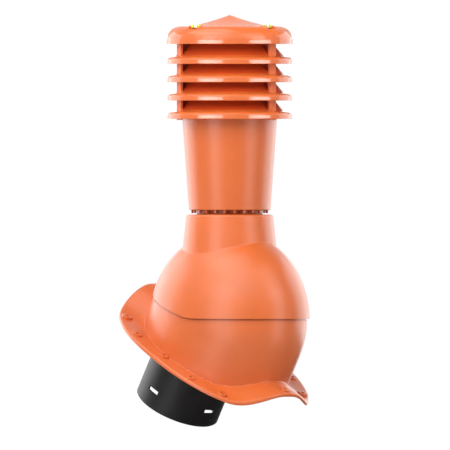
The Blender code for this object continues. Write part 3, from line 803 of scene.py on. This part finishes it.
def outline(inset, lift):
    """The flange's outline, this far in, on the wave."""
    ring = []
    power = 2.0 / SQUARENESS
    for angle in angles():
        edge = Vector((
            math.copysign(FLANGE_WIDTH * abs(math.cos(angle)) ** power, math.cos(angle)),
            math.copysign(FLANGE_LENGTH * abs(math.sin(angle)) ** power, math.sin(angle)),
        ))
        foot = Vector((HOUSING_WIDTH * math.cos(angle), HOUSING_LENGTH * math.sin(angle)))
        point = edge + (foot - edge).normalized() * inset
        ring.append(Vector((point.x, point.y, wave(point.x) + lift)))
    return ring


def wall(offset, drop):
    """The housing's wall under the hood's edge, this far below its ledge."""
    ring = []
    for angle in angles():
        x = (HOUSING_WIDTH + offset) * math.cos(angle)
        y = (HOUSING_LENGTH + offset) * math.sin(angle)
        ring.append(Vector((x, y, PIVOT_HEIGHT + ledge(HOUSING_LENGTH * math.sin(angle)) - drop)))
    return ring


def ledge(along):
    """The ledge under the hood's rear edge, over the pivot line."""
    near, far = rear_line()
    slope = (far.y - near.y) / (far.x - near.x)
    return min(0.0, near.y + slope * (along - near.x) - 0.0005)


def housing_units(drop):
    """Directions of the ring where the housing's dome meets its ledge."""
    units = []
    for angle in angles():
        height = ledge(HOUSING_LENGTH * math.sin(angle))
        height = (height - min(drop, -height)) / HOUSING_LENGTH
        level_share = math.sqrt(1.0 - height * height)
        units.append(Vector((level_share * math.cos(angle), level_share * math.sin(angle), height)))
    return units


def seam_units(drop):
    """Directions of a line on the housing, this far below the hood's edge."""
    lean = Matrix.Rotation(-PITCH, 3, "X")
    return [lean @ unit for unit in edge_units(HOUSING_LENGTH, drop)]


def mouth_units():
    """Directions of the housing's top opening."""
    lean = PITCH - math.radians(12.5)
    half = math.radians(12.5 + 2.0) + math.asin(0.0435 / HOUSING_LENGTH)
    middle = Vector((0.0, math.sin(lean), math.cos(lean)))
    side = Vector((0.0, math.cos(lean), -math.sin(lean)))
    units = []
    for angle in angles():
        spread = Vector((math.cos(angle), 0.0, 0.0)) + side * math.sin(angle)
        units.append(middle * math.cos(half) + spread * math.sin(half))
    return units


def raised(ring):
    """A ring drawn about the pivot, at its height."""
    return [point + Vector((0.0, 0.0, PIVOT_HEIGHT)) for point in ring]


def flat(ring, height):
    """A ring at one height."""
    return [Vector((point.x, point.y, height)) for point in ring]


def stub_hole(height):
    """The floor's hole for the duct stub."""
    ring = []
    for angle in angles():
        along = STUB_OFFSET + FLOOR_HOLE * math.sin(angle)
        ring.append(Vector((FLOOR_HOLE * math.cos(angle), along, height)))
    return ring


def boss_spots():
    """Middles of the screw bosses."""
    spots = [(0.0, FLANGE_LENGTH - END_INSET), (0.0, END_INSET - FLANGE_LENGTH)]
    across = math.cos(BOSS_BEARING) / FLANGE_WIDTH
    along = math.sin(BOSS_BEARING) / FLANGE_LENGTH
    corner = (across ** SQUARENESS + along ** SQUARENESS) ** (-1.0 / SQUARENESS) - CORNER_INSET
    for sign in (1.0, -1.0):
        spots += [(sign * (FLANGE_WIDTH - SIDE_INSET), step * BOSS_STEP) for step in (-1, 0, 1)]
        for way in (1.0, -1.0):
            spots.append((sign * corner * math.cos(BOSS_BEARING), way * corner * math.sin(BOSS_BEARING)))
    return spots


def flange(orange):
    """Flange, housing and bosses, moulded as one."""
    round_over = 0.003
    rings = [oval(-WALL, -WALL), outline(0.005, -WALL)]
    rings += [outline(0.0037, -RIM_DEPTH), outline(0.0004, -RIM_DEPTH), outline(0.0, -0.0052)]
    for degrees in (0.0, 22.5, 45.0, 67.5, 90.0):
        angle = math.radians(degrees)
        rings.append(outline(round_over * (1.0 - math.cos(angle)), -round_over * (1.0 - math.sin(angle))))
    near = outline(round_over, 0.0)
    far = oval(FOOT_FILLET, 0.0)
    for step in range(1, 8):
        ring = [a.lerp(b, step / 8.0) for a, b in zip(near, far)]
        rings.append([Vector((point.x, point.y, wave(point.x))) for point in ring])
    for degrees in (0.0, 22.5, 45.0, 67.5, 90.0):
        angle = math.radians(degrees)
        rings.append(oval(FOOT_FILLET * (1.0 - math.sin(angle)), FOOT_FILLET * (1.0 - math.cos(angle))))
    foot = oval(0.0, FOOT_FILLET)
    brow = wall(0.0, 0.0025)
    for share in (0.25, 0.5, 0.75, 1.0):
        rings.append([low.lerp(high, share) for low, high in zip(foot, brow)])
    size = (HOUSING_WIDTH, HOUSING_LENGTH)
    recess = (HOUSING_WIDTH - GROOVE, HOUSING_LENGTH - GROOVE)
    inside = (HOUSING_WIDTH - WALL, HOUSING_LENGTH - WALL)
    low, low_inside, mouth = housing_units(0.0025), housing_units(0.0015), mouth_units()
    seam = seam_units(0.0019)
    for step in range(1, 9):
        rings.append(raised(dome_ring(low, seam, step / 8.0, *size)))
    seam = seam_units(0.0016)
    for step in range(13):
        rings.append(raised(dome_ring(seam, mouth, step / 12.0, *recess)))
    for step in range(13):
        rings.append(raised(dome_ring(low_inside, mouth, 1.0 - step / 12.0, *inside)))
    rings += [wall(-WALL, 0.003), flat(oval(-WALL, 0.0), CREST + WALL)]
    rings += [stub_hole(CREST + WALL), stub_hole(CREST), flat(oval(-WALL, 0.0), CREST)]
    body = loft("flange_skin", rings)
    for x, y in boss_spots():
        heights = [wave(x + BOSS_RADIUS * math.cos(angle)) for angle in angles()[::8]]
        low_end, high_end = min(heights) - 0.0015, max(heights) + BOSS_RISE
        middle = (x, y, (low_end + high_end) / 2.0)
        deselect()
        bpy.ops.mesh.primitive_cylinder_add(
            vertices=40, radius=BOSS_RADIUS, depth=high_end - low_end, location=middle
        )
        pad = bpy.context.object
        settle(pad)
        press(pad, "BEVEL", width=0.0003, segments=2, limit_method="ANGLE")
        cut(body, pad, "UNION")
        deselect()
        hole_middle = (x, y, wave(x))
        bpy.ops.mesh.primitive_cylinder_add(vertices=20, radius=BOSS_HOLE, depth=0.03, location=hole_middle)
        drill = bpy.context.object
        settle(drill)
        cut(body, drill)
    paint(body, orange)
    on_roof(body)
    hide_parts("base_flange")


STUB_OUTSIDE = 0.0625
STUB_INSIDE = 0.0595
STUB_LIP = 0.0685
LIP_SEAT = 0.0162
LIP_TOP = 0.0192
STUB_END = -0.1178
STUB_EDGE = 0.0012
SLOT_WIDTH = 0.0200
SLOT_ENDS = (-0.0954, -0.0892)


def stub(black):
    """The black duct stub, with its lip and four slots."""
    section = [
        (STUB_OUTSIDE, LIP_SEAT), (STUB_LIP, LIP_SEAT), (STUB_LIP, LIP_TOP), (STUB_INSIDE, LIP_TOP),
        (STUB_INSIDE, STUB_END), (STUB_OUTSIDE - STUB_EDGE, STUB_END), (STUB_OUTSIDE, STUB_END + STUB_EDGE),
    ]
    body = turn_section("stub_skin", section)
    for turn in (0.0, 90.0, 180.0, 270.0):
        cut(body, bar("slot", (0.0565, 0.0655), SLOT_WIDTH, *SLOT_ENDS, turn, 0.0))
    body.location = (0.0, STUB_OFFSET, 0.0)
    settle(body)
    paint(body, black)
    on_roof(body)
    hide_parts("duct_stub")


def main():
    camera()
    glossy = studio()
    floor()
    color = (0.66, 0.126, 0.018)
    gloss = material("orange_gloss", color, 0.50, scale=30.0, coat=1.0, bump=0.05, Coat_Roughness=0.11)
    satin = material("orange_satin", color, 0.50, scale=30.0, coat=1.0, bump=0.08, Coat_Roughness=0.30)
    # Cone colour: darker and redder than the rest of the plastic, painted shade.
    painted_shade_cones = material(
        "orange_cones_painted_shade", (0.66, 0.070, 0.007), 0.50, scale=30.0, coat=0.5, bump=0.05, Coat_Roughness=0.2,
    )
    # Post colour: lighter than the rest of the plastic, painted light; no coat.
    painted_light_posts = material("orange_posts_painted_light", (0.90, 0.19, 0.04), 0.55, scale=30.0)
    # Fin colour: dark brown, painted shade for the shadow between the rings.
    painted_shade_fins = material("orange_fins_painted_shade", (0.30, 0.035, 0.005), 0.60, scale=30.0)
    black = material("black_plastic", (0.0155, 0.0155, 0.016), 0.45, speckle=0.1, scale=60.0, bump=0.08)
    liquid = material("level_liquid", (0.80, 0.86, 0.05), 0.12, speckle=0.05, scale=120.0, coat=1.0)
    mark = material("level_mark", (0.16, 0.22, 0.02), 0.3)
    bubble = material("level_bubble", (0.88, 0.95, 0.80), 0.12, coat=1.0)
    flange(satin)
    stub(black)
    hood(satin)
    pipe(satin)
    for piece in (*louvres(gloss, painted_shade_cones, painted_light_posts, painted_shade_fins), cap(gloss)):
        glossy.objects.link(piece)
    for name, turn in LEVEL_TURNS:
        level(name, turn, (liquid, mark, bubble))


main()
